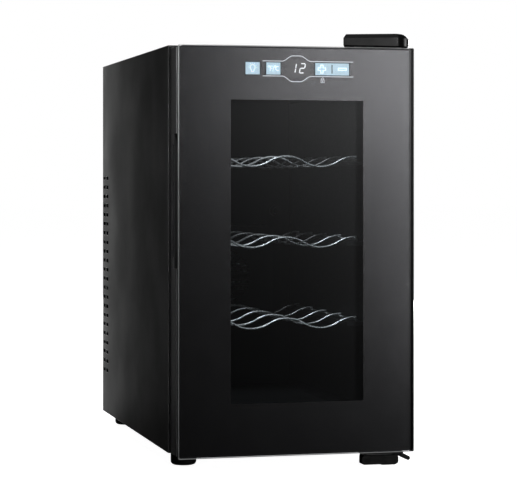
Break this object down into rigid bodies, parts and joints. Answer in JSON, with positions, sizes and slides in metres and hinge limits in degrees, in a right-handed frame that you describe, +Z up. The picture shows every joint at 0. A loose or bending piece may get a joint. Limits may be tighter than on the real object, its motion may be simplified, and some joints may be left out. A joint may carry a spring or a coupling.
{
  "type": "wine cooler",
  "caption": "Slim free-standing thermoelectric wine cooler with a hinged dark-glass door, wavy wire shelves, touch controls, recessed finger pull and side vents.",
  "frame": {"origin": "on the floor under the middle of the cooler's outer box", "axes": "+X to the right seen from the front, +Y to the back, +Z up; the door faces -Y"},
  "size_m": [0.252, 0.45, 0.4522],
  "materials": {
    "side_panel_paint": "satin",
    "top_panel_paint": "satin",
    "base_steel": "satin",
    "zinc_sheet": "satin",
    "rear_panel_paint": "matte",
    "screw_steel": "satin",
    "black_screw": "satin",
    "liner_plastic": "satin",
    "foam": "matte",
    "shelf_chrome": "polished",
    "duct_plastic": "satin",
    "fan_plastic": "satin",
    "rotor_plastic": "satin",
    "aluminium": "satin",
    "module_ceramic": "matte",
    "circuit_board": "satin",
    "nylon": "satin",
    "component_cases": "satin",
    "wire_insulation": "satin",
    "inlet_plastic": "satin",
    "lamp_diffuser": "satin",
    "foot_rubber": "matte",
    "hinge_steel": "satin",
    "hinge_cover_gloss": "gloss",
    "bracket_paint": "satin",
    "outer_glass": "polished",
    "glass_print": "gloss",
    "door_frame_plastic": "satin",
    "grip_plastic": "satin",
    "spacer_black": "matte",
    "clear_glass": "polished",
    "gasket_rubber": "matte",
    "spring_brass": "satin",
    "display_face": "gloss",
    "key_plate": "satin"
  },
  "bodies": {
    "cabinet": {"left_side_panel": "side_panel_paint", "right_side_panel": "side_panel_paint", "top_panel": "top_panel_paint", "base_plate": "base_steel", "rear_bulkhead": "zinc_sheet", "rear_panel": "rear_panel_paint", "rear_panel_screws": "screw_steel", "inner_liner": "liner_plastic", "insulation_foam": "foam", "shelf_top": "shelf_chrome", "shelf_middle": "shelf_chrome", "shelf_bottom": "shelf_chrome", "cold_air_cover": "duct_plastic", "inner_fan_frame": "fan_plastic", "inner_fan_screws": "screw_steel", "cold_sink": "aluminium", "conduction_block": "aluminium", "peltier_module": "module_ceramic", "heat_sink": "aluminium", "heat_sink_screws": "screw_steel", "rear_fan_frame": "fan_plastic", "rear_fan_screws": "screw_steel", "power_board": "circuit_board", "board_standoffs": "nylon", "power_components": "component_cases", "internal_wiring": "wire_insulation", "mains_inlet": "inlet_plastic", "lamp_board": "nylon", "lamp_lens": "lamp_diffuser", "temperature_sensor": "duct_plastic", "front_left_foot": "foot_rubber", "front_right_foot": "foot_rubber", "rear_left_foot": "foot_rubber", "rear_right_foot": "foot_rubber", "foot_screws": "screw_steel", "top_hinge_plate": "hinge_steel", "top_hinge_pin": "screw_steel", "top_hinge_screws": "screw_steel", "top_hinge_cover": "hinge_cover_gloss", "bottom_hinge_bracket": "bracket_paint", "bottom_hinge_pin": "screw_steel", "bottom_hinge_washer": "nylon", "bottom_hinge_screws": "black_screw"},
    "door": {"door_glass": "outer_glass", "door_print": "glass_print", "door_frame": "door_frame_plastic", "handle_grip": "grip_plastic", "glazing_spacer": "spacer_black", "inner_glass": "clear_glass", "glazing_retainer": "spacer_black", "door_gasket": "gasket_rubber", "top_bush": "nylon", "bottom_bush": "nylon", "control_board": "circuit_board", "touch_springs": "spring_brass", "display_module": "display_face", "left_keys": "key_plate", "right_keys": "key_plate"},
    "inner_fan": {"inner_fan_rotor": "rotor_plastic"},
    "rear_fan": {"rear_fan_rotor": "rotor_plastic"}
  },
  "joints": [
    {"name": "door_hinge", "type": "hinge", "parent": "cabinet", "child": "door", "pos_m": [0.114, -0.203, 0.22], "axis": [0, 0, 1], "range_deg": [0, 115]},
    {"name": "inner_fan_spin", "type": "hinge", "parent": "cabinet", "child": "inner_fan", "pos_m": [0, 0.116, 0.184], "axis": [0, 1, 0], "continuous": true},
    {"name": "rear_fan_spin", "type": "hinge", "parent": "cabinet", "child": "rear_fan", "pos_m": [0, 0.2045, 0.184], "axis": [0, 1, 0], "continuous": true}
  ]
}
